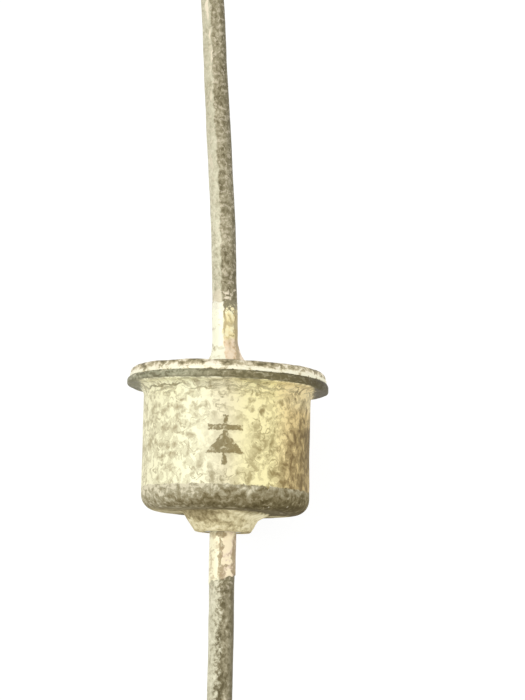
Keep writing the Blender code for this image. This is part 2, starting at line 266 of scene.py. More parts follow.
def turned(name, outline, sides, shape, material, closed=True):
    """A smooth piece: the outline turned about z, then each point moved by shape and laid down.

    The place of each point before shape moves it is kept in the attribute local_mm, for the
    material. shape takes that place and the surface's normal there and returns the new place.
    """
    bm = bmesh.new()
    kept = bm.verts.layers.float_vector.new("local_mm")
    verts = [bm.verts.new((p[0], 0, p[1])) for p in outline]
    edges = [bm.edges.new(pair) for pair in zip(verts, verts[1:])]
    if closed:
        edges.append(bm.edges.new((verts[-1], verts[0])))
    bmesh.ops.spin(
        bm, geom=verts + edges, axis=(0, 0, 1), cent=(0, 0, 0),
        angle=2 * pi, steps=sides, use_merge=True,
    )
    bmesh.ops.remove_doubles(bm, verts=bm.verts, dist=1e-4)
    bmesh.ops.recalc_face_normals(bm, faces=bm.faces)
    bm.normal_update()
    moved = [(v, LAID_DOWN @ shape(v.co.copy(), v.normal.copy())) for v in bm.verts]
    for vert, place in moved:
        vert[kept] = vert.co
        vert.co = place
    mesh = bpy.data.meshes.new(name)
    bm.to_mesh(mesh)
    bm.free()
    mesh.shade_smooth()
    mesh.set_sharp_from_angle(angle=radians(50))
    mesh.materials.append(material)
    piece = bpy.data.objects.new(name, mesh)
    bpy.context.scene.collection.objects.link(piece)
    return piece


def dent(place, size, depth, seed):
    """An uneven depth of up to about that much, over hollows of that size, all in mm."""
    return depth * noise.noise(place / size + Vector((seed, 3.7 * seed, 0)))


def skewed(place):
    """The can was pressed on a little askew: its right side hangs lower."""
    return Vector((place.x, place.y, place.z - SKEW * place.x))


def base_shape(place, normal):
    """Small dents in rim and face, none under the solder or where the disc seats in the cap."""
    if place.z > 2 * SEAT and hypot(place.x, place.y) > 2.3:
        place += normal * (dent(place, 0.9, 0.03, 1) + dent(place, 0.3, 0.012, 2))
    return skewed(place)


def faced_steel(add, worn, drift, radius):
    """The flat outer face is calmer: dull clouds of 1.6 mm under the faint rings of the tool.

    The rings are 0.3 mm apart, wider than real ones, so that they show.
    """
    rings = add("Math", add("Math", radius, 2 * pi / 0.3, operation="MULTIPLY"), operation="SINE")
    clouds = add("TexNoise", drift, 1 / 1.6, 3, 0.6)
    clouds = add("Math", worn, 0.5, clouds, operation="MULTIPLY_ADD")
    clouds = add("Math", rings, 0.018, clouds, operation="MULTIPLY_ADD")
    return add("ValToRGB", add("Math", clouds, -0.3, operation="ADD"), stops=[
        (0.42, 0xD6CDB0), (0.54, 0xC0B799), (0.64, 0xA9A082), (0.76, 0x92896B), (0.9, 0x7C7254),
    ])


def rim_steel():
    """Dull nickel plate on turned steel, brown where worn, with a painted highlight on the ridge.

    Every pattern is drawn in mm: a scale of 1 / 0.5 gives spots half a millimetre wide. Here the
    brown blots are 0.5 mm, and the pitting in them 0.14 mm, which is under 3 pixels.
    """
    material, add = new_material("Worn nickel plate")
    where = add("Attribute", out="Vector", attribute_name="local_mm")
    x, y, z = add("SeparateXYZ", where, out=slice(3))
    drift = warped(add, where, 1 / 0.5, 0.4)
    flat = add("VectorMath", drift, (1, 1, 1.6), operation="MULTIPLY")
    blots = add("TexNoise", flat, 1 / 0.5, 2, 0.55)
    fine = add("TexNoise", drift, 1 / 0.14, 2, 0.55)
    worn = add("Math", fine, 0.4, blots, operation="MULTIPLY_ADD")
    upper = add("MapRange", z, 0.2, BASE_TOP, interpolation_type="SMOOTHSTEP")
    worn = add("Math", upper, 0.09, worn, operation="MULTIPLY_ADD")
    plate = add("ValToRGB", worn, stops=[
        (0.58, 0xF8F0D8), (0.66, 0xE4D9BB), (0.72, 0xC4B897), (0.8, 0xA89C7A), (0.88, 0x8A8060),
        (0.95, 0x6F6546),
    ])

    # The ridge has a painted highlight up to a ragged edge, and the seam under it is dark.
    bright = add("ValToRGB", worn, stops=[
        (0.68, 0xFEFAE0), (0.79, 0xF6EFD0), (0.84, 0xD8CEAC), (0.92, 0xA59A78),
    ])
    ragged = add("TexNoise", drift, 1 / 0.45, 3, 0.6)
    ragged = add("Math", ragged, 0.3, z, operation="MULTIPLY_ADD")
    ridge = add("MapRange", ragged, 0.42, 0.33, interpolation_type="SMOOTHSTEP")
    seam = add("MapRange", ragged, RIDGE_TOP, 0.14, interpolation_type="SMOOTHSTEP")
    colour = add("Mix", ridge, plate, bright, data_type="RGBA")
    colour = add("Mix", seam, colour, srgb(0x8F8667), data_type="RGBA")

    radius = distance_from_axis(add, x, y)
    inwards = add("MapRange", radius, 5.0, 4.7, interpolation_type="SMOOTHSTEP")
    face = faced_steel(add, worn, drift, radius)
    colour = add("Mix", inwards, colour, face, data_type="RGBA")
    pitted = add("Bump", 1.0, 0.05 / 1000, None, worn)
    return shaded(material, {
        "Base Color": colour, "Metallic": 0.25, "Roughness": 0.55, "Specular IOR Level": 0.3,
        "Normal": pitted,
    })


base_outline = rounded([
    (0, BASE_TOP, 0),
    (BASE_RADIUS, BASE_TOP, BASE_CORNER),
    (BASE_RADIUS, RIDGE_TOP + RIDGE_SLOPE, 0.02),
    (BASE_RADIUS + RIDGE_WIDTH, RIDGE_TOP, 0.03),
    (BASE_RADIUS + RIDGE_WIDTH, SEAT, 0.05),
    (LAND_RADIUS, SEAT, 0),
    (LAND_RADIUS, LAND_CHAMFER - LAND_DEPTH, 0),
    (LAND_RADIUS - LAND_CHAMFER, -LAND_DEPTH, 0),
    (0, -LAND_DEPTH, 0),
])
base = turned(
    "base_rim", divided(base_outline, FACE_LENGTH, False), CAN_FACES, base_shape, rim_steel(),
    closed=False,
)
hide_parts("base_disc")
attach(base, "root")

# Cap
# One steel sheet, tin plated and drawn into flange, flare, straight wall, round shoulder, closed
# end and boss. Its flange is welded to the base. The plate is cream, veined and blotted olive
# brown, whiter to the left and yellower to the right in painted light. Painted shade darkens the
# band at the shoulder, which is grime too, and the flange's edge.
SHEET = 0.48
CAN_BORE = LAND_RADIUS + 0.1
CAN_RADIUS = CAN_BORE + SHEET
CAN_DEPTH = 7.1
SHOULDER_RADIUS = 0.82
FLANGE_RADIUS = CAN_RADIUS + 0.91
FLANGE_EDGE = 0.16
FLARE_RADIUS = 0.5
BOSS_HEIGHT = 1.04
BOSS_ROOT_RADIUS = 2.25
BOSS_ROOT_FILLET = 0.3
BOSS_END_RADIUS = 1.51
BOSS_END_CORNER = 0.14
BOSS_SHIFT = 0.07

BOSS_END = -(CAN_DEPTH + BOSS_HEIGHT)
INNER_END = SHEET - CAN_DEPTH


def bore(z):
    """The radius of the boss's inner cone at a height, parallel to its outside."""
    taper = (BOSS_ROOT_RADIUS - BOSS_END_RADIUS) / BOSS_HEIGHT
    return BOSS_END_RADIUS - SHEET + taper * (z - BOSS_END)


def share(value, start, end):
    """How far a value has come on its way from start to end, from 0 to 1."""
    return max(0.0, min(1.0, (value - start) / (end - start)))


def bell(value, middle, width):
    """1 at the middle, falling off smoothly over the width on both sides."""
    return exp(-(((value - middle) / width) ** 2))


def boss_offset(place):
    """The boss, its glass and its lead sit a little left of the middle."""
    place.x -= BOSS_SHIFT * share(place.z, -6.6, -7.6)
    return place


def cap_shape(place, normal):
    """Dents outside, a flange pressed unevenly, and a boss whose right side is drawn in."""
    radius, turn = hypot(place.x, place.y), degrees(atan2(place.x, -place.y))
    on_right, on_left = bell(turn, 90, 40), bell(turn, -90, 45)
    # The outside of the sheet lies beyond its middle, and the face that is welded has no dents.
    outside = (radius > 4.3 or place.z < -6.85) and place.z < -0.03
    if outside:
        place += normal * (dent(place, 1.6, 0.014, 3) + dent(place, 0.5, 0.006, 4))
    if outside and radius > 4.7:
        place += normal * dent(place, 0.8, 0.03, 5)
        reach = share(radius, 4.7, 5.2) * min(1.0, -place.z / 0.3)
        place.z += reach * (0.04 * on_left - 0.06 * on_right)
    elif outside:
        place.x -= 0.04 * on_right * share(place.z, -5.5, -4.0)
    if place.z < -6.6 and radius < 3.2:
        fuller = 0.2 * bell(place.z, -7.2, 0.12)
        drawn_in = 0.13 * bell(place.z, -7.5, 0.2) + (0.05 if place.z < -7.7 else 0)
        sideways = share(place.x, 0.0, 1.6) * share(radius, 3.2, 2.5)
        place.x += (fuller - drawn_in) * sideways
        boss_offset(place)
    return skewed(place)


def spots(add, x, z, places):
    """The strongest of several soft-edged ovals: x, z, width, height (mm) and strength of each."""
    strongest = 0.0
    for across, along, width, height, strength in places:
        u = add("Math", x, 2 / width, -2 * across / width, operation="MULTIPLY_ADD")
        v = add("Math", z, 2 / height, -2 * along / height, operation="MULTIPLY_ADD")
        square = add(
            "Math", u, u, add("Math", v, v, operation="MULTIPLY"), operation="MULTIPLY_ADD"
        )
        oval = add("MapRange", square, 1.3, 0.4, 0, strength, interpolation_type="SMOOTHSTEP")
        strongest = add("Math", oval, strongest, operation="MAXIMUM")
    return strongest


def diode_symbol(add, u, z, uneven):
    """A diode symbol with uneven edges: stem, triangle, bar and stem, pointing to the flange.

    Each shape is a distance in mm, below 0 inside it.
    """
    wide = add("Math", u, operation="ABSOLUTE")

    def box(half_width, middle, half_height):
        """A bar across the axis of the symbol or along it."""
        upright = add("Math", add("Math", z, -middle, operation="ADD"), operation="ABSOLUTE")
        upright = add("Math", upright, -half_height, operation="ADD")
        sideways = add("Math", wide, -half_width, operation="ADD")
        return add("Math", sideways, upright, operation="MAXIMUM")

    # The triangle stands on its foot at -4.3 mm, and its slanted sides meet at -3.06 mm.
    slant = add("Math", z, 0.64, 1.96, operation="MULTIPLY_ADD")
    slant = add("Math", wide, 0.77, slant, operation="MULTIPLY_ADD")
    foot = add("Math", z, -1.0, -4.3, operation="MULTIPLY_ADD")
    shape = add("Math", slant, foot, operation="MAXIMUM")
    shape = add("Math", shape, box(0.92, -2.94, 0.15), operation="MINIMUM")
    shape = add("Math", shape, box(0.13, -3.6, 1.3), operation="MINIMUM")
    shape = add("Math", uneven, 0.26, shape, operation="MULTIPLY_ADD")
    return add("MapRange", shape, 0.16, 0.1, interpolation_type="SMOOTHSTEP")


def tin_patterns(add):
    """What the parts of the tin's look share: places, and noise from 1.3 mm down to 0.07 mm."""
    where = add("Attribute", out="Vector", attribute_name="local_mm")
    x, y, z = add("SeparateXYZ", where, out=slice(3))
    drift = warped(add, where, 1 / 0.53, 0.5)
    curled = warped(add, drift, 1 / 0.25, 0.18)
    dx, dy, dz = add("SeparateXYZ", curled, out=slice(3))
    return SimpleNamespace(
        where=where, x=x, y=y, z=z, drift=drift, curled=curled, dx=dx, dy=dy, dz=dz,
        across=add("Math", x, 1 / (2 * FLANGE_RADIUS), 0.5, operation="MULTIPLY_ADD"),
        height=add("Math", z, -1 / BOSS_END, 1.0, operation="MULTIPLY_ADD"),
        radius=distance_from_axis(add, x, y),
        front=add("MapRange", y, 0.0, -0.5, interpolation_type="SMOOTHSTEP"),
        wide=add("TexNoise", where, 1 / 1.3, 2, 0.5),
        blots=add("TexNoise", curled, 1 / 0.45, 2, 0.5),
        small=add("TexNoise", curled, 1 / 0.23, 2, 0.55),
        pebble=add("TexVoronoi", curled, 1 / 0.37),
        fine=add("TexNoise", where, 1 / 0.13, 3, 0.6),
        grain=add("TexNoise", where, 1 / 0.07, 2, 0.6),
    )


def tarnish_thickness(add, tin):
    """How thick the tarnish is, with its belt round the wall and the share on the right side."""
    belt = add("ValToRGB", tin.height, stops=[
        (0.28, 0.45), (0.4, 0.4), (0.5, 0.95), (0.6, 0.9), (0.72, 0.55), (0.8, 0.1), (0.9, 0.15),
    ])
    right = add("ValToRGB", tin.across, stops=[(0.7, 0.0), (0.79, 0.4), (0.86, 0.85), (0.9, 1.0)])
    lower = add("ValToRGB", tin.height, stops=[(0.66, 1.0), (0.8, 0.4), (0.88, 0.0)])
    right = add("Math", right, lower, operation="MULTIPLY")
    stains = spots(add, tin.dx, tin.dz, [
        (4.35, -3.25, 0.5, 2.0, 1.0), (3.7, -1.45, 1.3, 1.0, 0.3), (1.95, -2.1, 0.4, 0.6, 0.75),
        (2.9, -1.4, 0.35, 0.3, 0.6), (3.45, -5.4, 1.8, 1.5, 0.6), (2.8, -5.05, 0.5, 0.6, 0.7),
        (4.3, -4.3, 0.7, 1.6, 0.6), (3.55, -4.2, 0.8, 1.2, 0.4), (3.5, -3.2, 0.5, 0.9, 0.5),
        (-0.7, -5.35, 0.4, 0.9, 0.7), (-0.1, -5.6, 1.0, 0.25, 0.65), (-2.7, -1.75, 0.9, 0.4, 0.5),
        (-2.9, -4.45, 1.1, 0.35, 0.5), (-4.2, -2.6, 0.5, 0.5, 0.4),
    ])
    stains = add("Math", stains, tin.front, operation="MULTIPLY")
    thick = add("Math", belt, 0.24, -1.51, operation="MULTIPLY_ADD")
    thick = add("Math", right, 0.1, thick, operation="MULTIPLY_ADD")
    thick = add("Math", tin.wide, 0.6, thick, operation="MULTIPLY_ADD")
    thick = add("Math", stains, 0.5, thick, operation="MULTIPLY_ADD")
    return thick, belt, right


def curled_mottle(add, tin, thick, belt):
    """How dark the tarnish is in each place: a mottle in steps, and thin curled lines in it."""
    mottle = add("Math", tin.small, 0.45, tin.blots, operation="MULTIPLY_ADD")
    mottle = add("Math", mottle, 1.95, thick, operation="MULTIPLY_ADD")
    mottle = add("Math", tin.pebble, 0.2, mottle, operation="MULTIPLY_ADD")
    mottle = add("ValToRGB", mottle, stops=[
        (0.1, 0.0), (0.36, 0.05), (0.41, 0.42), (0.46, 0.28), (0.6, 0.34), (0.65, 0.55),
        (0.78, 0.62), (1.0, 0.85),
    ])
    contour = add("TexNoise", tin.drift, 1 / 0.83, 2, 0.5)
    contour = add("Math", contour, 6, operation="MULTIPLY")
    contour = add("Math", contour, 0.5, operation="PINGPONG")
    contour = add("MapRange", contour, 0.24, 0.0, 0, 0.7, interpolation_type="SMOOTHSTEP")
    broken = add("TexNoise", tin.where, 1 / 0.77, 3, 0.6)
    broken = add("Math", belt, 0.1, broken, operation="MULTIPLY_ADD")
    broken = add("MapRange", broken, 0.5, 0.62, interpolation_type="SMOOTHSTEP")
    contour = add("Math", contour, broken, operation="MULTIPLY")
    return add("Math", mottle, contour, operation="MAXIMUM")


def with_symbol(add, tin, dark):
    """The same with the symbol's worn brown ink, on a patch where the tarnish is thinner."""
    turn = add("Math", tin.x, add("Math", tin.y, -1, operation="MULTIPLY"), operation="ARCTAN2")
    arc = add("Math", turn, CAN_RADIUS, operation="MULTIPLY")
    ink = diode_symbol(add, arc, tin.z, tin.fine)
    rubbed = add("MapRange", tin.small, 0.66, 0.5, 0.4, 0.92, interpolation_type="SMOOTHSTEP")
    ink = add("Math", ink, rubbed, operation="MULTIPLY")
    ink = add("Math", ink, tin.front, operation="MULTIPLY")
    patch = spots(add, arc, tin.z, [(0.0, -3.6, 3.2, 3.4, 0.6)])
    patch = add("Math", patch, tin.front, operation="MULTIPLY")
    dark = add("Math", dark, add("Math", 1.0, patch, operation="SUBTRACT"), operation="MULTIPLY")
    return add("Math", dark, ink, operation="MAXIMUM")


def gritty(add, tin, dark):
    """The same with grit that roughens every edge, kept between 0 and 1."""
    for grit, strength in ((tin.fine, 0.3), (tin.grain, 0.15)):
        grit = add("Math", grit, 0.5, operation="SUBTRACT")
        dark = add("Math", grit, strength, dark, operation="MULTIPLY_ADD")
    return add("Math", add("Math", dark, 0, operation="MAXIMUM"), 1, operation="MINIMUM")


def wall_tin(add, tin, dark, right):
    """The wall's colour: cream plate under olive brown tarnish, with painted light that whitens
    its left and yellows its right, and painted shade at its right edge.
    """
    # Painted light: whiter on the left, yellower to the right, dimmer at the right edge.
    bright = add("ValToRGB", tin.across, stops=[
        (0.1, 0xFBF6D0), (0.235, 0xFEFBD4), (0.353, 0xFEFCD8), (0.45, 0xF6EFCC), (0.5, 0xF2E9C4),
        (0.6, 0xFCF3BE), (0.73, 0xFFF4B8), (0.8, 0xFAE4A6), (0.887, 0xE8CE90),
    ])
    # The tarnish colour, and painted shade that darkens it towards the right edge.
    stain_and_shade = add("ValToRGB", tin.across, stops=[
        (0.1, 0xA39770), (0.235, 0xA3926C), (0.353, 0xA59570), (0.477, 0x84774F),
        (0.606, 0x8F7D4C), (0.73, 0x8C7844), (0.828, 0x755F38), (0.887, 0x65532F),
    ])
    veil = add("Math", tin.blots, 0.5, operation="SUBTRACT")
    veil = add("Math", veil, 1.2, right, operation="MULTIPLY_ADD")
    veil = add("MapRange", veil, 0.15, 1.0, 0, 0.85, interpolation_type="SMOOTHSTEP")
    bright = add("Mix", veil, bright, srgb(0xC2AA70), data_type="RGBA")
    # A painted patch of light high up on the right.
    painted_light_high_right = add("MapRange", tin.z, -2.0, -1.2, 0, 0.6, interpolation_type="SMOOTHSTEP")
    rightmost = add("MapRange", tin.across, 0.72, 0.84, interpolation_type="SMOOTHSTEP")
    painted_light_high_right = add("Math", painted_light_high_right, rightmost, operation="MULTIPLY")
    bright = add("Mix", painted_light_high_right, bright, srgb(0xFFF2C0), data_type="RGBA")
    return add("Mix", dark, bright, stain_and_shade, data_type="RGBA")


def shoulder_grime_and_shade(add, tin):
    """The dark band round the shoulder and its colour, in grains of 0.3 mm: grime and painted
    shade.

    Its painted shade is deepest low down and on the right, and pale flecks show the plate through
    the grime.
    """
    edge = add("Math", tin.blots, 0.3, tin.z, operation="MULTIPLY_ADD")
    edge = add("Math", tin.fine, 0.2, edge, operation="MULTIPLY_ADD")
    band = add("MapRange", edge, -5.62, -5.7, interpolation_type="SMOOTHSTEP")
    grime_and_shade = add("TexNoise", tin.curled, 1 / 0.3, 3, 0.62)
    grime_and_shade = add("Math", grime_and_shade, 1.6, -0.94, operation="MULTIPLY_ADD")
    grime_and_shade = add("Math", tin.wide, 0.3, grime_and_shade, operation="MULTIPLY_ADD")
    # Painted shade, deeper towards the closed end, in two steps.
    for top, bottom, strength in ((-5.95, -6.7, 0.26), (-6.6, -7.05, 0.16)):
        low = add("MapRange", tin.z, top, bottom, interpolation_type="SMOOTHSTEP")
        grime_and_shade = add("Math", low, strength, grime_and_shade, operation="MULTIPLY_ADD")
    # Grime and painted shade, darker to the right.
    grime_and_shade = add("Math", tin.across, 0.55, grime_and_shade, operation="MULTIPLY_ADD")
    grime_and_shade = add("ValToRGB", grime_and_shade, stops=[
        (0.1, 0xE2DABD), (0.25, 0xBCB496), (0.42, 0xA19777), (0.58, 0x887C5A), (0.75, 0x6F6442),
        (0.95, 0x574B2A),
    ])
    fleck = add("TexNoise", tin.drift, 1 / 0.32, 2, 0.5)
    fleck = add("MapRange", fleck, 0.68, 0.73, 0, 0.6, interpolation_type="SMOOTHSTEP")
    return band, add("Mix", fleck, grime_and_shade, srgb(0xE6DDC0), data_type="RGBA")


def end_tin(add, tin):
    """Where closed end and boss are clean, and their colour: cream under brown smears, with
    painted shade at the boss's mouth.

    The smears are 1.4 mm long and 0.7 mm high.
    """
    smear = add("VectorMath", tin.drift, (1 / 1.4, 1 / 1.4, 1 / 0.7), operation="MULTIPLY")
    smear = add("TexNoise", smear, 1.0, 3, 0.6)
    smear = add("Math", tin.small, 0.6, smear, operation="MULTIPLY_ADD")
    smear = add("Math", tin.fine, 0.3, smear, operation="MULTIPLY_ADD")
    sweep = spots(add, add("Math", tin.dx, tin.dz, operation="ADD"), tin.dz, [
        (-8.6, -7.3, 2.2, 0.8, 0.22), (-7.9, -7.75, 1.8, 0.4, 0.16), (-10.5, -7.1, 2.0, 0.5, 0.2),
    ])
    smear = add("Math", sweep, tin.front, smear, operation="MULTIPLY_ADD")
    # Painted shade at the boss's mouth.
    mouth_shade = add("MapRange", tin.z, -8.04, -8.12, 0, 0.12, interpolation_type="SMOOTHSTEP")
    root = add("MapRange", tin.z, -7.3, -7.0, 0, 0.12, interpolation_type="SMOOTHSTEP")
    smear = add("Math", smear, add("Math", mouth_shade, root, operation="ADD"), operation="ADD")
    colour = add("ValToRGB", add("Math", smear, 0.9, -0.42, operation="MULTIPLY_ADD"), stops=[
        (0.3, 0xFBF2CC), (0.42, 0xEBE0B6), (0.5, 0xD8CB9E), (0.6, 0xBBAC82), (0.72, 0x9A8B62),
        (0.9, 0x7A6C48),
    ])
    clean = spots(add, tin.dx, tin.dy, [
        (-0.1, 0.0, 4.8, 4.8, 1.0), (-3.1, 0.5, 2.6, 4.6, 0.34), (3.0, 1.7, 2.2, 1.6, 0.4),
    ])
    clean = add("MapRange", clean, 0.15, 0.5, interpolation_type="SMOOTHSTEP")
    below = add("MapRange", tin.z, -6.85, -7.02, interpolation_type="SMOOTHSTEP")
    return add("Math", clean, below, operation="MULTIPLY"), colour


def marks_and_flare_shade(add, tin, streaks):
    """Fine dark lines that the drawing tool left under the flange, and three longer ones in the
    hollow of the flare, which are painted shade.
    """
    line = add("MapRange", streaks, 0.5, 0.62, 0, 0.6, interpolation_type="SMOOTHSTEP")
    near = add("MapRange", tin.z, -1.6, -0.6, interpolation_type="SMOOTHSTEP")
    line = add("Math", near, line, operation="MULTIPLY")
    # Painted shade: three long dark lines in the hollow of the flare, just under the flange.
    flare_shade_lines = spots(add, tin.dx, tin.dz, [
        (-3.3, -0.66, 2.4, 0.13, 0.8), (-1.3, -0.85, 2.2, 0.09, 0.6), (2.6, -0.7, 1.6, 0.1, 0.5),
    ])
    return add("Math", line, flare_shade_lines, operation="MAXIMUM")


def flange_painted_shade(add, tin, streaks):
    """Where the flange has painted shade, on the lower part of its edge and in the corner at
    either side, and its colour.
    """
    low = add("Math", tin.blots, 0.12, tin.z, operation="MULTIPLY_ADD")
    # Painted shade on the lower part of the flange's edge.
    rim = add(
        "Math", add("MapRange", tin.radius, 5.15, 5.22, interpolation_type="SMOOTHSTEP"),
        add("MapRange", low, -0.38, -0.32, interpolation_type="SMOOTHSTEP"), operation="MULTIPLY",
    )
    aside = add("Math", tin.x, operation="ABSOLUTE")
    aside = add("Math", tin.small, 0.6, aside, operation="MULTIPLY_ADD")
    # Painted shade in the corner under the flange at either end.
    hook_shade = add(
        "Math", add("MapRange", tin.radius, 4.55, 4.7, interpolation_type="SMOOTHSTEP"),
        add("MapRange", aside, 4.75, 5.05, interpolation_type="SMOOTHSTEP"), operation="MULTIPLY",
    )
    # The painted shade's colour, darker to the right, with streaks in it.
    olive = add("ValToRGB", tin.across, stops=[
        (0.02, 0x969478), (0.25, 0xA6A487), (0.5, 0x8A8160), (0.75, 0x766C47), (0.88, 0x625735),
        (0.97, 0x453B1C),
    ])
    pale = add("Math", streaks, 0.7, operation="MULTIPLY")
    pale = add("Math", tin.small, 0.7, pale, operation="MULTIPLY_ADD")
    darker = add("MapRange", pale, 0.68, 0.6, 0, 0.7, interpolation_type="SMOOTHSTEP")
    olive = add("Mix", darker, olive, srgb(0x665F40), data_type="RGBA")
    lighter = add(
        "Math", add("MapRange", pale, 0.72, 0.86, interpolation_type="SMOOTHSTEP"),
        add("MapRange", tin.across, 1.0, 0.5, 0.15, 0.6, interpolation_type="SMOOTHSTEP"),
        operation="MULTIPLY",
    )
    olive = add("Mix", lighter, olive, srgb(0xCDC6A6), data_type="RGBA")
    # Deeper painted shade on the underside.
    under = add("MapRange", low, -0.2, -0.32, 0, 0.45, interpolation_type="SMOOTHSTEP")
    olive = add("Mix", under, olive, srgb(0x5F5838), data_type="RGBA")
    return add("Math", rim, hook_shade, operation="MAXIMUM"), olive


def tarnished_tin():
    """Old dull tin plate on drawn steel: cream where clean, and olive brown in a curled mottle.

    Tin goes dull in spots that join up. Their clouds are 1.3 mm wide, the blots 0.45 mm and the
    mottle 0.23 mm; grit of 0.13 mm roughens every edge. The real grit is finer, but then it
    wouldn't show in the render. On the flange and the flare the drawing tool left streaks,
    1.2 mm long and 0.14 mm high.
    """
    material, add = new_material("Tarnished tin plate")
    tin = tin_patterns(add)
    thick, belt, right = tarnish_thickness(add, tin)
    dark = gritty(add, tin, with_symbol(add, tin, curled_mottle(add, tin, thick, belt)))
    colour = wall_tin(add, tin, dark, right)
    # The shoulder band: grime, and painted shade where the shoulder curves away.
    band, grime_and_shade = shoulder_grime_and_shade(add, tin)
    colour = add("Mix", band, colour, grime_and_shade, data_type="RGBA")
    clean, end_colour = end_tin(add, tin)
    colour = add("Mix", clean, colour, end_colour, data_type="RGBA")

    streaks = add("VectorMath", tin.drift, (1 / 1.2, 1 / 1.2, 1 / 0.14), operation="MULTIPLY")
    streaks = add("TexNoise", streaks, 1.0, 3, 0.6)
    marks = marks_and_flare_shade(add, tin, streaks)
    colour = add("Mix", marks, colour, srgb(0x8F8560), data_type="RGBA")
    # Painted shade on the flange's edge and at its ends.
    flange, olive = flange_painted_shade(add, tin, streaks)
    colour = add("Mix", flange, colour, olive, data_type="RGBA")

    raised = add("Math", dark, -0.6, tin.fine, operation="MULTIPLY_ADD")
    rough = add("MapRange", dark, 0, 1, 0.52, 0.66, interpolation_type="SMOOTHSTEP")
    matt_band = add("Math", band, 0.9, operation="MULTIPLY")
    return shaded(material, {
        "Base Color": colour, "Metallic": 0.15, "Specular IOR Level": 0.25,
        "Roughness": add("Math", matt_band, rough, operation="MAXIMUM"),
        "Normal": add("Bump", 1.0, 0.02 / 1000, None, raised),
    })


cap_outline = rounded([
    (CAN_BORE, 0, FLARE_RADIUS + SHEET),
    (FLANGE_RADIUS, 0, FLANGE_EDGE),
    (FLANGE_RADIUS, -SHEET, FLANGE_EDGE),
    (CAN_RADIUS, -SHEET, FLARE_RADIUS),
    (CAN_RADIUS, -CAN_DEPTH, SHOULDER_RADIUS),
    (BOSS_ROOT_RADIUS, -CAN_DEPTH, BOSS_ROOT_FILLET),
    (BOSS_END_RADIUS, BOSS_END, BOSS_END_CORNER),
    (bore(BOSS_END), BOSS_END, 0),
    (bore(INNER_END), INNER_END, 0),
    (CAN_BORE, INNER_END, SHOULDER_RADIUS - SHEET),
])
cap = turned(
    "cap_shell", divided(cap_outline, FACE_LENGTH, True), CAN_FACES, cap_shape, tarnished_tin()
)
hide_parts("cap")
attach(cap, "root")

# Glass bead
# A bead of green glass, fused in a furnace to the boss and to the anode lead, which it seals and
# insulates. Only its face shows, matt olive and flush with the boss's mouth.
WIRE_RADIUS = 0.665
WIRE_SIDE = WIRE_RADIUS + SEAT
COAT_RADIUS = WIRE_RADIUS + 0.04
COAT_START = BOSS_END + 0.11
GLASS_FACE = BOSS_END + 0.02
GLASS_FACES = 120
GLASS_FACE_LENGTH = 0.1


def seal_glass():
    """Olive sintered glass, fired matt and full of seeds of 0.3 mm, so next to no light passes."""
    material, add = new_material("Green compression-seal glass")
    where = add("Attribute", out="Vector", attribute_name="local_mm")
    seeds = add("TexNoise", where, 1 / 0.29, 3, 0.5)
    colour = add("Mix", seeds, srgb(0x8F8E6C), srgb(0xB5AB88), data_type="RGBA")
    raised = add("Bump", 1.0, 0.02 / 1000, None, seeds)
    return shaded(material, {
        "Base Color": colour, "Metallic": 0.0, "Roughness": 0.35, "IOR": 1.5,
        "Transmission Weight": 0.05, "Normal": raised,
    })


def glass_shape(place, normal):
    """The bead keeps its smooth surface and goes where the boss goes."""
    return skewed(boss_offset(place))


# The face clears the solder coat that starts in the boss's mouth. The inner end is hollow, drawn
# up where the glass wets boss and lead.
glass_outline = [Vector(p) for p in (
    (WIRE_SIDE, COAT_START + SEAT), (COAT_RADIUS + SEAT, COAT_START + SEAT),
    (COAT_RADIUS + 2 * SEAT, GLASS_FACE - SEAT), (0.9, GLASS_FACE), (1.0, GLASS_FACE),
    (bore(GLASS_FACE) - SEAT, GLASS_FACE),
    (bore(INNER_END) - SEAT, INNER_END), (1.6, INNER_END - 0.08), (1.3, INNER_END - 0.1),
    (0.9, INNER_END - 0.07), (WIRE_SIDE, INNER_END),
)]
glass = turned(
    "glass_bead", divided(glass_outline, GLASS_FACE_LENGTH, True), GLASS_FACES, glass_shape,
    seal_glass(),
)
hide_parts("glass_seal")
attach(glass, "root")

# Cathode lead
# Copper wire, drawn to 1.33 mm and dipped in tin, with an upset head that is soldered to the
# base. It is bent a little at its foot and again higher up. The tin has gone dull and mottled
# olive brown; a pale strip along one side is a painted highlight.
HEAD_RADIUS = 1.0
HEAD_THICKNESS = 0.3
NECK = HEAD_THICKNESS / 3
WIRE_CHAMFER = 0.09
WIRE_FACES = 72
BEND_LENGTH = 2.0
CATHODE_FOOT = 0.57
CATHODE_TIP = 27.56
CATHODE_SHIFT = 0.2
SECOND_BEND = 7.06


def lead_outline(face, tip):
    """A wire's outline from the face of its head to its cut tip, which may be up or down."""
    way = 1 if tip > face else -1
    neck = face + way * HEAD_THICKNESS
    return [Vector(p) for p in (
        (0, face), (HEAD_RADIUS, face), (HEAD_RADIUS, neck - way * NECK),
        (WIRE_RADIUS + NECK, neck), (WIRE_RADIUS, neck + way * NECK),
        (WIRE_RADIUS, tip - way * WIRE_CHAMFER), (WIRE_RADIUS - WIRE_CHAMFER, tip), (0, tip),
    )]


def leaning(place, slope, start, way):
    """Bends an upright wire beyond the height start, along BEND_LENGTH, then lets it run on."""
    past = (place.z - start) * way
    if past > 0:
        bend = min(past, BEND_LENGTH)
        place.x += slope * (bend * bend / (2 * BEND_LENGTH) + past - bend)
    return place


def cathode_bend(place):
    """Both bends of the cathode lead, which stands a little left of the middle."""
    leaning(place, -tan(radians(2.3)), CATHODE_FOOT + 2 * HEAD_THICKNESS, 1)
    leaning(place, -tan(radians(1.8)), SECOND_BEND, 1)
    place.x -= CATHODE_SHIFT
    return place


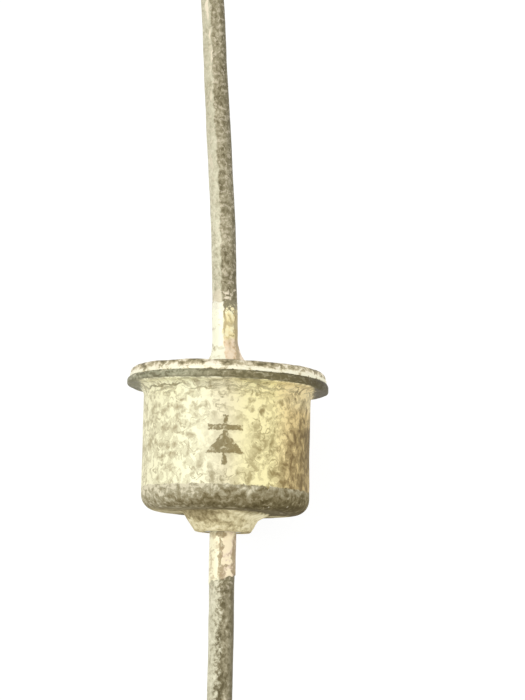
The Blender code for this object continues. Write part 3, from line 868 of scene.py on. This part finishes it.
def cathode_shape(place, normal):
    """Slight flats and swellings on the drawn wire, thinner in its upper part, then its bends."""
    if place.z > 1.0:
        place += normal * (dent(place, 1.4, 0.022, 6) + dent(place, 0.35, 0.008, 7))
        place -= normal * 0.03 * share(place.z, 14, 19)
        place.x += dent(Vector((0, 0, place.z)), 3.5, 0.02, 8) * share(place.z, 1, 4)
    return cathode_bend(place)


def wire_flecks(add, z, drift, dx, dz):
    """Pinkish flecks of solder beyond the coats, and bright ones along the cathode lead: painted
    highlights high on its left side, and pale patches just above its coat.
    """
    fleck = add("TexNoise", drift, 1 / 0.2, 3, 0.6)
    fleck = add("MapRange", fleck, 0.54, 0.6, interpolation_type="SMOOTHSTEP")
    close = add(
        "Math", add("MapRange", z, 6.4, 4.4, interpolation_type="SMOOTHSTEP"),
        add("MapRange", z, 0.0, 2.0, interpolation_type="SMOOTHSTEP"), operation="MULTIPLY",
    )
    below = add("MapRange", z, -12.4, -10.8, 0, 0.5, interpolation_type="SMOOTHSTEP")
    close = add("Math", close, below, operation="MAXIMUM")
    fleck = add("Math", fleck, close, operation="MULTIPLY")
    # The five from 12 mm up, on the left, are painted highlights; the last three are pale patches.
    bare = spots(add, dx, dz, [
        (-0.32, 20.4, 0.2, 1.5, 1.0), (-0.24, 19.0, 0.14, 0.6, 0.9), (-0.18, 17.8, 0.12, 0.9, 0.8),
        (-0.3, 15.6, 0.1, 0.9, 0.5), (-0.5, 12.0, 0.15, 0.9, 0.5), (-0.38, 4.5, 0.5, 0.9, 0.55),
        (0.13, 4.72, 0.26, 0.16, 1.0), (0.12, 4.45, 0.36, 0.2, 1.0),
    ])
    return add("Math", add("Math", fleck, 0.75, operation="MULTIPLY"), bare, operation="MAXIMUM")


def tinned_wire():
    """Hot-dipped tin on drawn copper, gone dull and olive brown, with a painted highlight in pale
    grey on the left and painted shade at the right edge.

    The tarnish is in grains of 0.2 mm, under clouds of 0.8 mm that are drawn out along the wire.
    """
    material, add = new_material("Dull tinned copper wire")
    where = add("Attribute", out="Vector", attribute_name="local_mm")
    x, y, z = add("SeparateXYZ", where, out=slice(3))
    front = add("MapRange", y, 0.1, -0.1, interpolation_type="SMOOTHSTEP")
    drift = warped(add, where, 1 / 0.33, 0.3)
    drawn = add("VectorMath", drift, (1, 1, 0.8), operation="MULTIPLY")
    grain = add("TexNoise", drawn, 1 / 0.19, 3, 0.6)
    wide = add("TexNoise", drawn, 1 / 0.8, 2, 0.5)
    dx, _, dz = add("SeparateXYZ", drift, out=slice(3))
    streaks = spots(add, dx, dz, [
        (-0.1, -14.2, 0.3, 2.4, 0.2), (0.02, -16.3, 0.4, 2.2, 0.24), (0.15, -11.6, 1.0, 1.1, 0.14),
        (-0.05, -20.5, 0.4, 3.0, 0.18), (0.1, -27.0, 0.5, 3.5, 0.16),
    ])
    tone = add("Math", grain, 1.5, -0.62, operation="MULTIPLY_ADD")
    tone = add("Math", wide, 0.75, tone, operation="MULTIPLY_ADD")
    tone = add("Math", streaks, front, tone, operation="MULTIPLY_ADD")
    dull = add("ValToRGB", tone, stops=[
        (0.15, 0xD0C8AB), (0.32, 0xB3AA8D), (0.5, 0x9A9173), (0.68, 0x7F7658), (0.9, 0x635A3C),
    ])
    # The pale tone is a painted highlight along the left side.
    pale = add("ValToRGB", tone, stops=[
        (0.15, 0xEEE8CF), (0.35, 0xDEDABE), (0.55, 0xCDC8AC), (0.75, 0xB7B194), (0.95, 0x9A9375),
    ])
    # The painted highlight is dimmer higher up the wire.
    higher = add("MapRange", z, 8.0, 14.0, 0, 0.35, interpolation_type="SMOOTHSTEP")
    pale = add("Mix", higher, pale, srgb(0xB3AC8F), data_type="RGBA")
    # Painted shade down the wire's right edge.
    rightmost = add("MapRange", x, 0.3, 0.64, 0, 0.75, interpolation_type="SMOOTHSTEP")
    dull = add("Mix", rightmost, dull, srgb(0x655D40), data_type="RGBA")

    # The painted highlight and the dull tin meet along a wavy line on the cathode lead, and in
    # grains on the anode lead.
    border = add("TexNoise", drawn, 1 / 0.62, 3, 0.6)
    sharp = add("Math", border, 0.5, x, operation="MULTIPLY_ADD")
    sharp = add("MapRange", sharp, 0.04, 0.16, interpolation_type="SMOOTHSTEP")
    rough = add("Math", grain, 1.4, x, operation="MULTIPLY_ADD")
    rough = add("MapRange", rough, 0.36, 0.72, interpolation_type="SMOOTHSTEP")
    at_anode = add("MapRange", z, 0, -1, interpolation_type="SMOOTHSTEP")
    side = add("Mix", at_anode, sharp, rough, data_type="RGBA")
    colour = add("Mix", side, pale, dull, data_type="RGBA")
    flecks = wire_flecks(add, z, drift, dx, dz)
    colour = add("Mix", flecks, colour, srgb(0xEEE2C8), data_type="RGBA")
    raised = add("Bump", 1.0, 0.03 / 1000, None, tone)
    return shaded(material, {
        "Base Color": colour, "Metallic": 0.2, "Roughness": 0.58, "Specular IOR Level": 0.3,
        "Normal": raised,
    })


wire_material = tinned_wire()
cathode = turned(
    "cathode_wire", divided(lead_outline(CATHODE_FOOT, CATHODE_TIP), FACE_LENGTH, False),
    WIRE_FACES, cathode_shape, wire_material, closed=False,
)
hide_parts("cathode_lead")
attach(cathode, "root")

# Cathode solder
# Tin-lead solder that joins the lead's head to the base. It climbs over the head as a hollow
# fillet, and on up the wire as a thin, bright coat with a ragged end.
FILLET_RADIUS = 1.96
FILLET_HEIGHT = 1.6
FILLET_STEPS = 12
CATHODE_COAT_RADIUS = 0.695
CATHODE_COAT_END = 4.3
CATHODE_RAGGED_FROM = 3.3
COAT_TAPER = 0.04
SOLDER_FACES = 96
SOLDER_FACE_LENGTH = 0.12

# Nearer the axis than this, the solder lies on the wire and has no lumps.
LUMPS_FROM = WIRE_SIDE + 0.005


def cathode_solder_shape(place, normal):
    """Lumps in the fillet, a foot that spreads to the right and an uneven upper end."""
    if hypot(place.x, place.y) > LUMPS_FROM:
        place += normal * dent(place, 0.6, 0.025, 9)
    if place.z > CATHODE_RAGGED_FROM:
        turn = atan2(place.x, -place.y)
        uneven = noise.noise(Vector((2 * cos(turn), 2 * sin(turn), 5)))
        place.z += 0.3 * (place.z - CATHODE_RAGGED_FROM) * uneven
    place.x += 0.1 * share(place.z, 2.1, 0.9)
    place = cathode_bend(place)
    return skewed(place) if place.z < 1 else place


def solder_patterns(add):
    """What the solder on both leads shares: places, blots of 0.45 mm and frost of 0.17 mm."""
    where = add("Attribute", out="Vector", attribute_name="local_mm")
    x, y, z = add("SeparateXYZ", where, out=slice(3))
    front = add("MapRange", y, 0.1, -0.1, interpolation_type="SMOOTHSTEP")
    drift = warped(add, where, 1 / 0.38, 0.45)
    dx, _, dz = add("SeparateXYZ", drift, out=slice(3))
    blots = add("TexNoise", drift, 1 / 0.45, 3, 0.55)
    fine = add("TexNoise", drift, 1 / 0.17, 3, 0.6)
    tone = add("Math", fine, 0.4, blots, operation="MULTIPLY_ADD")
    # The left side carries a painted highlight, ragged at the front and soft at the back.
    ragged = add("Math", blots, 0.6, x, operation="MULTIPLY_ADD")
    sharp = add("MapRange", ragged, 0.2, 0.27, interpolation_type="SMOOTHSTEP")
    soft = add("MapRange", ragged, -0.7, 1.3, interpolation_type="SMOOTHSTEP")
    side = add("Mix", front, soft, sharp, data_type="RGBA")
    return SimpleNamespace(
        z=z, dx=dx, dz=dz, front=front, blots=blots, fine=fine, tone=tone, side=side,
    )


def upper_solder(add, solder):
    """At the cathode: cream on the left, a painted highlight, yellow on the right, tan at the
    foot, dark creases, and painted shade down the right edge.
    """
    # The cream on the left is a painted highlight.
    clean = add("ValToRGB", solder.tone, stops=[
        (0.76, 0xFFFEE4), (0.84, 0xEAE4C6), (0.92, 0xC4BD9C),
    ])
    yellow = add("ValToRGB", solder.tone, stops=[
        (0.6, 0xFFFAD0), (0.74, 0xFFF2C0), (0.83, 0xF0E0A8), (0.93, 0xB8A878),
    ])
    tan_foot = add("ValToRGB", solder.tone, stops=[
        (0.6, 0xFCE9CC), (0.73, 0xF2DAB6), (0.82, 0xD8BD92), (0.92, 0xA08860),
    ])
    foot = add("Math", solder.blots, 0.9, solder.z, operation="MULTIPLY_ADD")
    foot = add("MapRange", foot, 2.9, 2.5, interpolation_type="SMOOTHSTEP")
    yellow = add("Mix", foot, yellow, tan_foot, data_type="RGBA")
    colour = add("Mix", solder.side, clean, yellow, data_type="RGBA")
    # Dark creases, and painted shade down the coat's right edge: the two long spots near x 0.64.
    crease_and_shade = spots(add, solder.dx, solder.dz, [
        (-0.02, 4.0, 0.18, 1.5, 0.9), (0.0, 3.1, 0.2, 1.6, 0.6), (0.15, 4.3, 0.5, 0.2, 0.6),
        (0.3, 3.05, 0.7, 0.24, 0.45), (0.62, 3.0, 0.26, 3.2, 0.7), (0.66, 1.4, 0.24, 1.2, 0.6),
        (-0.3, 1.75, 0.7, 0.16, 0.3), (0.25, 2.0, 0.2, 0.9, 0.25),
    ])
    crease_and_shade = add("Math", crease_and_shade, solder.front, operation="MULTIPLY")
    colour = add("Mix", crease_and_shade, colour, srgb(0x9C8654), data_type="RGBA")
    frayed = add("Math", solder.fine, 3.0, solder.z, operation="MULTIPLY_ADD")
    frayed = add("MapRange", frayed, 5.3, 5.5, interpolation_type="SMOOTHSTEP")
    # Above the coat the wire shows, pale on the left with the painted highlight.
    wire = add("Mix", solder.side, srgb(0xF3EFDA), srgb(0x8C8466), data_type="RGBA")
    return add("Mix", frayed, colour, wire, data_type="RGBA")


def lower_solder(add, solder):
    """At the anode: cream on the left with the painted highlight, pinkish cream on the right,
    brown staining that runs down from the boss, and painted shade.
    """
    rosy = add("ValToRGB", solder.blots, stops=[(0.45, 0xFFF0CC), (0.56, 0xF1DCC4)])
    colour = add("Mix", solder.side, srgb(0xFFF9D6), rosy, data_type="RGBA")
    dim = add("MapRange", solder.tone, 0.7, 0.82, 0, 0.6, interpolation_type="SMOOTHSTEP")
    colour = add("Mix", dim, colour, srgb(0xBEA982), data_type="RGBA")
    # The spot just under the boss is partly its painted shadow; the one at x 0.66 is painted
    # shade.
    stain_and_shade = spots(add, solder.dx, solder.dz, [
        (-0.1, -8.3, 0.7, 0.4, 0.9), (-0.1, -9.3, 0.24, 2.6, 0.9), (-0.04, -9.0, 0.4, 0.4, 0.9),
        (-0.02, -10.3, 0.4, 0.8, 0.8), (0.25, -10.0, 0.4, 0.2, 0.8), (0.66, -9.5, 0.28, 3.0, 0.8),
        (-0.5, -9.2, 0.16, 0.2, 0.4),
    ])
    stain_and_shade = add("Math", stain_and_shade, solder.front, operation="MULTIPLY")
    uneven = add("MapRange", solder.fine, 0.36, 0.5, 0.6, 1, interpolation_type="SMOOTHSTEP")
    stain_and_shade = add("Math", stain_and_shade, uneven, operation="MULTIPLY")
    return add("Mix", stain_and_shade, colour, srgb(0xA28D66), data_type="RGBA")


def solder_metal():
    """Solder that froze satin bright, yellowed by flux and brown where the flux burnt on."""
    material, add = new_material("Tin-lead solder")
    solder = solder_patterns(add)
    at_anode = add("MapRange", solder.z, 1.0, -1.0, interpolation_type="SMOOTHSTEP")
    colour = add(
        "Mix", at_anode, upper_solder(add, solder), lower_solder(add, solder), data_type="RGBA"
    )
    raised = add("Bump", 1.0, 0.035 / 1000, None, solder.tone)
    return shaded(material, {
        "Base Color": colour, "Metallic": 0.22, "Roughness": 0.48, "Normal": raised,
    })


solder_material = solder_metal()
quarter = [pi / 2 * k / FILLET_STEPS for k in range(FILLET_STEPS + 1)]
fillet = [
    Vector((
        FILLET_RADIUS - (FILLET_RADIUS - CATHODE_COAT_RADIUS) * sin(angle),
        CATHODE_FOOT + FILLET_HEIGHT * (1 - cos(angle)),
    ))
    for angle in quarter
]
head_back = CATHODE_FOOT + HEAD_THICKNESS
cathode_solder_outline = fillet + [Vector(p) for p in (
    (CATHODE_COAT_RADIUS, CATHODE_COAT_END - COAT_TAPER), (WIRE_SIDE, CATHODE_COAT_END),
    (WIRE_SIDE, head_back + NECK + 3 * SEAT), (WIRE_SIDE + NECK, head_back),
    (HEAD_RADIUS + SEAT, head_back - NECK + SEAT), (HEAD_RADIUS + SEAT, CATHODE_FOOT),
)]
cathode_solder = turned(
    "cathode_fillet", divided(cathode_solder_outline, SOLDER_FACE_LENGTH, True), SOLDER_FACES,
    cathode_solder_shape, solder_material,
)
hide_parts("cathode_solder")
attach(cathode_solder, "root")

# Anode lead
# The same tinned copper wire. It comes in through the glass, which holds it, and ends in an
# upset head inside the can.
ANODE_HEAD = -4.575

# Below this height the lead is outside the boss, and its surface is uneven.
CLEAR_OF_BOSS = BOSS_END - 0.06


def anode_bend(place):
    """The slight bend outside the boss, and the boss's own offset."""
    return boss_offset(leaning(place, tan(radians(0.3)), BOSS_END, -1))


def anode_shape(place, normal):
    """Slight flats and swellings on the stretch outside the boss."""
    if place.z < CLEAR_OF_BOSS:
        place += normal * (0.01 + dent(place, 1.4, 0.022, 10) + dent(place, 0.35, 0.008, 11))
    return anode_bend(place)


anode = turned(
    "anode_wire", divided(lead_outline(ANODE_HEAD, ANODE_TIP), FACE_LENGTH, False),
    WIRE_FACES, anode_shape, wire_material, closed=False,
)
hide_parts("anode_lead")
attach(anode, "root")

# Anode solder
# The same solder, which ran along the anode lead where it leaves the boss: a thin coat, ragged
# at its end.
ANODE_COAT_END = -10.64
ANODE_RAGGED_FROM = -9.6


def anode_solder_shape(place, normal):
    """Lumps outside the boss, and an end that runs further down on the left."""
    if hypot(place.x, place.y) > LUMPS_FROM and place.z < CLEAR_OF_BOSS:
        place += normal * (0.012 + dent(place, 0.7, 0.015, 12))
    if place.z < ANODE_RAGGED_FROM:
        turn = atan2(place.x, -place.y)
        uneven = noise.noise(Vector((2.2 * cos(turn), 2.2 * sin(turn), 8))) - 0.6 * sin(turn)
        along = (ANODE_RAGGED_FROM - place.z) / (ANODE_RAGGED_FROM - ANODE_COAT_END)
        place.z -= along * 0.35 * uneven
    return anode_bend(place)


anode_solder_outline = [Vector(p) for p in (
    (WIRE_SIDE, COAT_START), (COAT_RADIUS, COAT_START),
    (COAT_RADIUS, ANODE_COAT_END + COAT_TAPER), (WIRE_SIDE, ANODE_COAT_END),
)]
anode_solder = turned(
    "anode_coat", divided(anode_solder_outline, SOLDER_FACE_LENGTH, True), SOLDER_FACES,
    anode_solder_shape, solder_material,
)
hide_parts("anode_solder")
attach(anode_solder, "root")

# Inner pieces
# The stack between base and anode lead: copper heat spreader, molybdenum disc, silicon chip and
# silver-plated button, soldered one on the other, and the copper strap. They are sealed in, so
# they keep their CAD shape and get a material each.


def inner_metal(name, light, dark, metallic, roughness, grain_mm):
    """A bare metal of two close tones in a grain of that size, on the CAD's own coordinates."""
    material, add = new_material(name)
    where = add("TexCoord", out="Object")
    where = add("VectorMath", where, (1000, 1000, 1000), operation="MULTIPLY")
    grain = add("TexNoise", where, 1 / grain_mm, 4, 0.6)
    raised = add("Bump", 1.0, 0.004 / 1000, None, grain)
    tone = add("MapRange", grain, 0.35, 0.65, interpolation_type="SMOOTHSTEP")
    colour = add("Mix", tone, srgb(light), srgb(dark), data_type="RGBA")
    return shaded(material, {
        "Base Color": colour, "Metallic": metallic, "Roughness": roughness, "Normal": raised,
    })


inner = {
    "spreader_solder": inner_metal("Reflowed solder", 0xD8D4C4, 0xA9A594, 0.7, 0.35, 0.33),
    "heat_spreader": inner_metal("Bare copper", 0xC98A62, 0x9A5A3A, 0.9, 0.35, 0.25),
    "buffer_disc": inner_metal("Ground molybdenum", 0xA4A7AB, 0x7B7E83, 0.9, 0.4, 0.17),
    "schottky_chip": inner_metal("Polished silicon", 0x565C66, 0x3B4049, 0.5, 0.15, 0.5),
    "contact_button": inner_metal("Satin silver plate", 0xE4E4E0, 0xC2C2BC, 0.95, 0.3, 0.12),
}
inner["buffer_solder"] = inner["chip_solder"] = inner["button_solder"] = inner["spreader_solder"]
inner["lead_strap"] = inner["heat_spreader"]
for node_name, metal in inner.items():
    for material_slot in frame["nodes"][node_name].material_slots:
        material_slot.material = metal

# Floor
# A sheet of white paper on which the diode lies. Camera and reflections see it lit evenly, and it
# keeps the diode's shadow. Its size is in metres.
FLOOR_REACH = 2


def white_paper():
    """Matt white paper: plain to the light, and glowing a little less than white where seen."""
    material, add = new_material("White studio paper")
    tree = material.node_tree
    tree.nodes.remove(tree.nodes["Principled BSDF"])
    plain = add("BsdfDiffuse", (0.8, 0.8, 0.8, 1))
    lit = add("AddShader", add("BsdfDiffuse", (0.16, 0.16, 0.16, 1)), add("Emission", None, 0.9))
    shown = add("MixShader", seen_directly(tree), plain, lit)
    tree.links.new(shown, tree.nodes["Material Output"].inputs["Surface"])
    return material


shown_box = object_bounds()
paper = bmesh.new()
bmesh.ops.create_grid(paper, x_segments=1, y_segments=1, size=FLOOR_REACH)
bmesh.ops.translate(paper, verts=paper.verts, vec=(0, 0, shown_box[0].z))
floor_mesh = bpy.data.meshes.new("floor")
paper.to_mesh(floor_mesh)
paper.free()
floor_mesh.materials.append(white_paper())
floor = bpy.data.objects.new("floor", floor_mesh)
bpy.context.scene.collection.objects.link(floor)
